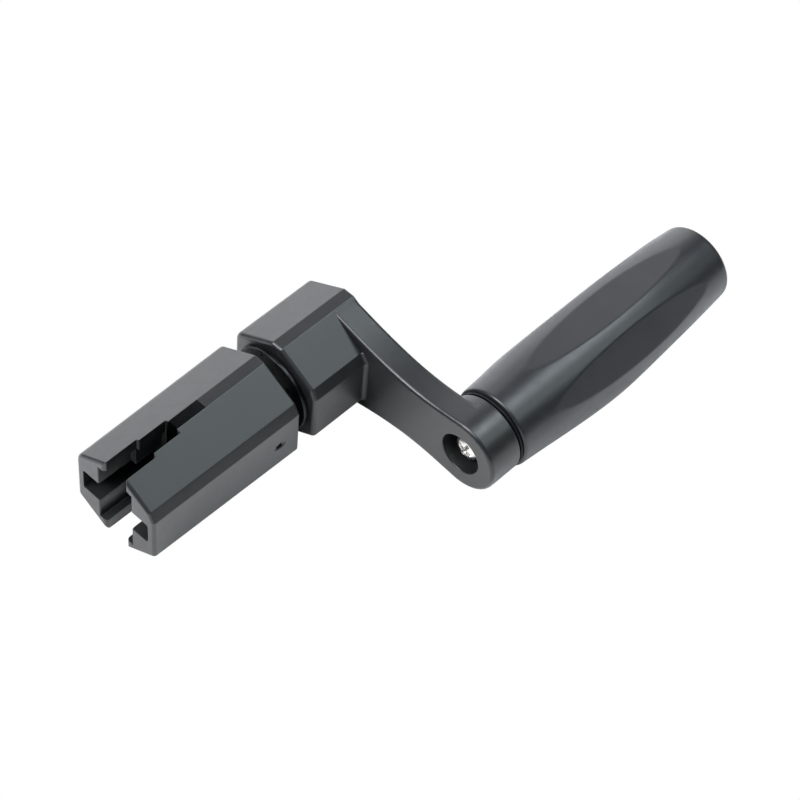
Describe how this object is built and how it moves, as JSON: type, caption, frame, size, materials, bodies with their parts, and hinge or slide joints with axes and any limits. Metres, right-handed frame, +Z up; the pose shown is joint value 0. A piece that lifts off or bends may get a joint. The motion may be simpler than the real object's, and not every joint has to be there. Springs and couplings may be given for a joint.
{
  "type": "string winder",
  "caption": "Hand crank for turning instrument tuning pegs: slotted hexagonal plug-in head, offset arm and a barrel grip that spins on ball bearings.",
  "frame": {"origin": "centre of the flat back face of the crank block, on the head's axis", "axes": "+Y from the head's open tip towards the grip's end, +X along the arm towards the grip, +Z up through a corner of the hexagon"},
  "size_m": [0.0695, 0.1521, 0.0288],
  "materials": {
    "moulded_black": "satin black glass-filled nylon, fine texture",
    "grip_black": "satin black moulded grip, fine texture",
    "ring_black": "smooth black",
    "bright_steel": "bright zinc plated or ground steel",
    "dark_steel": "black oxide steel",
    "magnet_nickel": "nickel plated",
    "cage_nylon": "natural nylon"
  },
  "bodies": {
    "crank": {"crank_body": "moulded_black", "shank_socket": "dark_steel", "socket_magnet": "magnet_nickel", "grip_spindle": "bright_steel", "spindle_screw": "bright_steel", "lock_washer": "dark_steel", "thrust_washer": "ring_black", "front_bearing_inner_ring": "bright_steel", "rear_bearing_inner_ring": "bright_steel", "bearing_spacer": "dark_steel", "spindle_clip": "dark_steel"},
    "head": {"winder_head": "moulded_black", "head_shank": "bright_steel", "head_pin": "dark_steel"},
    "grip": {"grip_sleeve": "grip_black", "grip_end_cap": "moulded_black", "front_bearing_outer_ring": "bright_steel", "rear_bearing_outer_ring": "bright_steel"},
    "front_cage": {"front_bearing_cage": "cage_nylon", "front_ball_1": "bright_steel", "front_ball_2": "bright_steel", "front_ball_3": "bright_steel", "front_ball_4": "bright_steel", "front_ball_5": "bright_steel", "front_ball_6": "bright_steel", "front_ball_7": "bright_steel"},
    "rear_cage": {"rear_bearing_cage": "cage_nylon", "rear_ball_1": "bright_steel", "rear_ball_2": "bright_steel", "rear_ball_3": "bright_steel", "rear_ball_4": "bright_steel", "rear_ball_5": "bright_steel", "rear_ball_6": "bright_steel", "rear_ball_7": "bright_steel"}
  },
  "joints": [
    {"name": "head_release", "type": "slide", "parent": "crank", "child": "head", "axis": [0, -1, 0], "range_m": [0, 0.0165]},
    {"name": "grip_spin", "type": "hinge", "parent": "crank", "child": "grip", "pos_m": [0.0436, 0.0035, 0], "axis": [0, 1, 0], "continuous": true},
    {"name": "front_cage_orbit", "type": "hinge", "parent": "crank", "child": "front_cage", "pos_m": [0.0436, 0.0045, 0], "axis": [0, 1, 0], "continuous": true},
    {"name": "rear_cage_orbit", "type": "hinge", "parent": "crank", "child": "rear_cage", "pos_m": [0.0436, 0.064, 0], "axis": [0, 1, 0], "continuous": true}
  ],
  "couplings": [
    {"joint": "front_cage_orbit", "follows": "grip_spin", "ratio": 0.619},
    {"joint": "rear_cage_orbit", "follows": "grip_spin", "ratio": 0.619}
  ]
}
